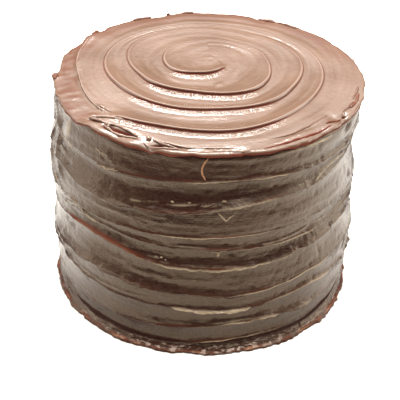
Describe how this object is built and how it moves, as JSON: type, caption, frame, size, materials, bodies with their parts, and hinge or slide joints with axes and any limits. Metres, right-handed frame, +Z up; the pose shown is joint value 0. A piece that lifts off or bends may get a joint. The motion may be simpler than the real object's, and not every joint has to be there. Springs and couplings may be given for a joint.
{
  "type": "iced layer cake",
  "caption": "Tall round chocolate layer cake, uncut, with knife-worked bands of icing round the side and a spiral swirl on top.",
  "frame": {"origin": "middle of the flat underside, on the surface the cake stands on", "axes": "+Z up; -Y toward the front, the side that faces the viewer in the picture; +X to the viewer's right"},
  "size_m": [0.1624, 0.1618, 0.1201],
  "materials": {
    "chocolate_icing": "satin"
  },
  "bodies": {
    "root": {"iced_cake": "chocolate_icing"}
  },
  "joints": []
}
